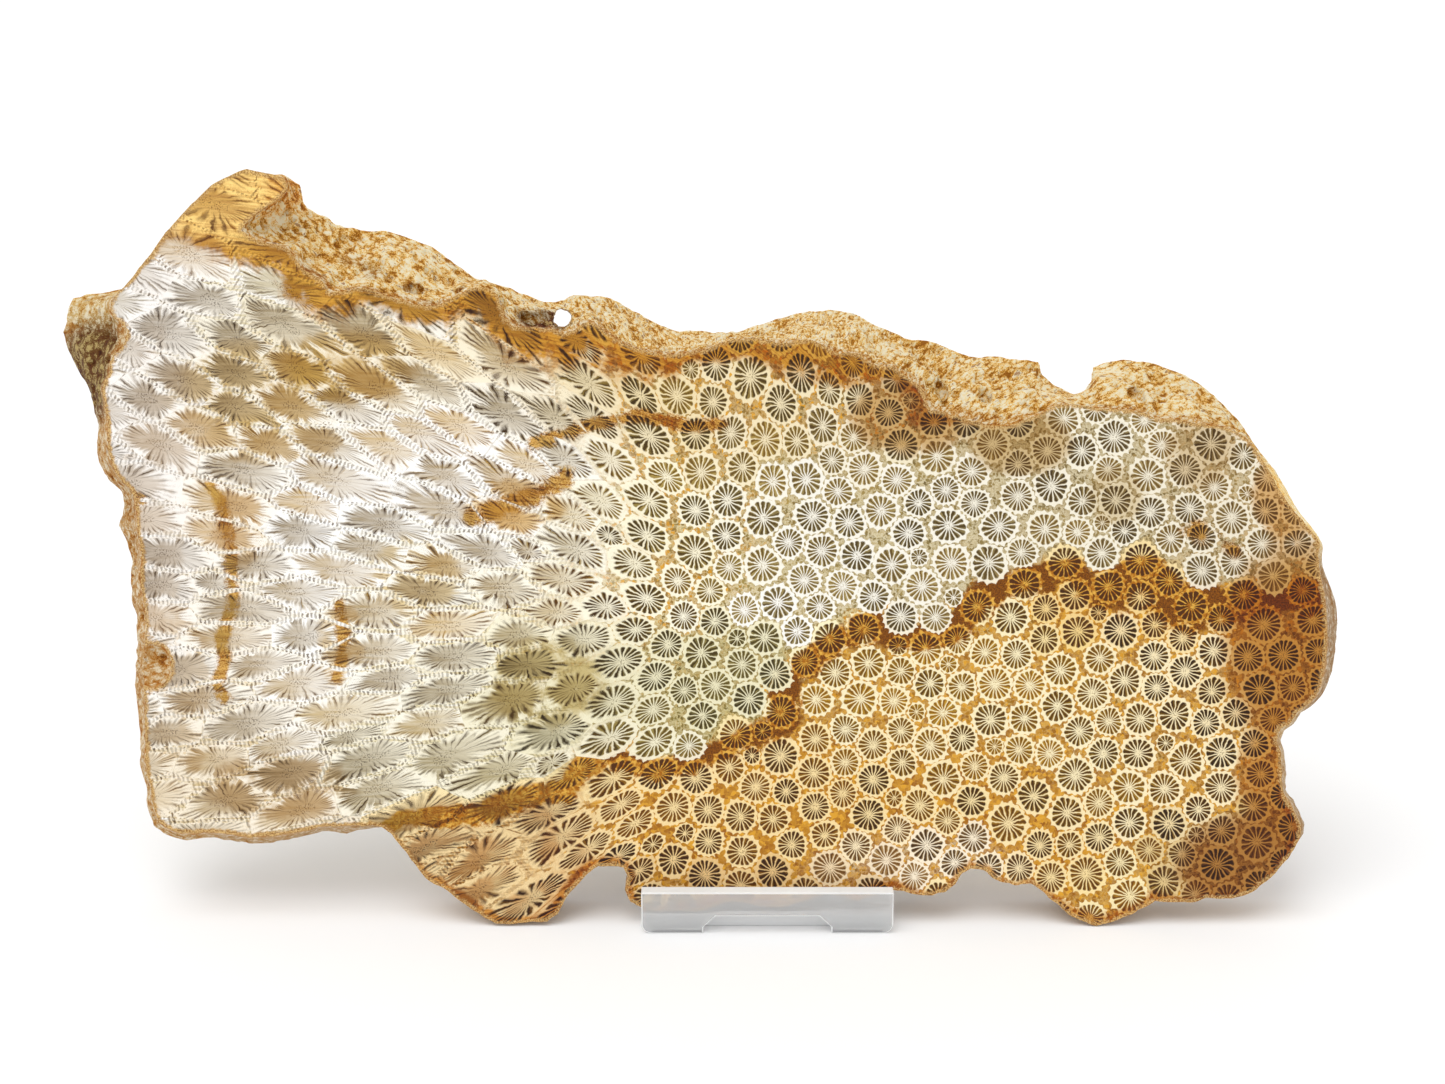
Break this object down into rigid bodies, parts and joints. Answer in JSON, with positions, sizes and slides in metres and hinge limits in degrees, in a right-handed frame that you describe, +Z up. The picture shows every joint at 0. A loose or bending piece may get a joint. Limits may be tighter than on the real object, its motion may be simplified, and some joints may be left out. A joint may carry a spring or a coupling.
{
  "type": "fossil coral slice",
  "caption": "Sawn and polished slice of fossil coral with natural crust along its edge, leaning back on a small clear acrylic stand.",
  "frame": {"origin": "on the table, under the middle of the whole object's box", "axes": "+X along the slice, to the right as its polished front is seen; +Y back, away from that front; +Z up"},
  "size_m": [0.2618, 0.0574, 0.1457],
  "materials": {
    "coral": "polished faces, rough natural crust",
    "acrylic": "clear, polished"
  },
  "bodies": {
    "root": {"coral_slice": "coral", "stand_lip": "acrylic", "stand_base": "acrylic", "stand_fin_left": "acrylic", "stand_fin_right": "acrylic"}
  },
  "joints": []
}
